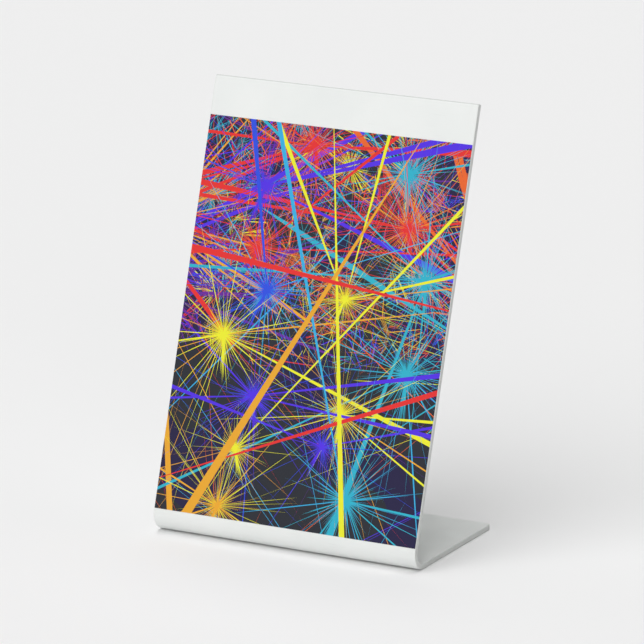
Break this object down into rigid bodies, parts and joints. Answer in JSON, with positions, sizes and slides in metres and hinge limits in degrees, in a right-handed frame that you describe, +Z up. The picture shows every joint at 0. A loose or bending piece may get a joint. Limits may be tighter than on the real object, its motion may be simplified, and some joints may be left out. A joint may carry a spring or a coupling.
{
  "type": "tabletop sign",
  "caption": "Slant-back tabletop sign: one white sheet bent into a leaning face and a foot, with a printed abstract ray pattern on the face.",
  "frame": {"origin": "on the table, at the centre of the sign's footprint", "axes": "+Z up, -Y the way the printed face looks, +X to the right of someone who looks at the face"},
  "size_m": [0.1016, 0.058, 0.1534],
  "materials": {
    "white_acrylic": "opal white sheet, satin gloss",
    "printed_ink": "cured ink, satin, many colours over a near-black ground"
  },
  "bodies": {
    "root": {"bent_sheet": "white_acrylic", "printed_ink": "printed_ink"}
  },
  "joints": []
}
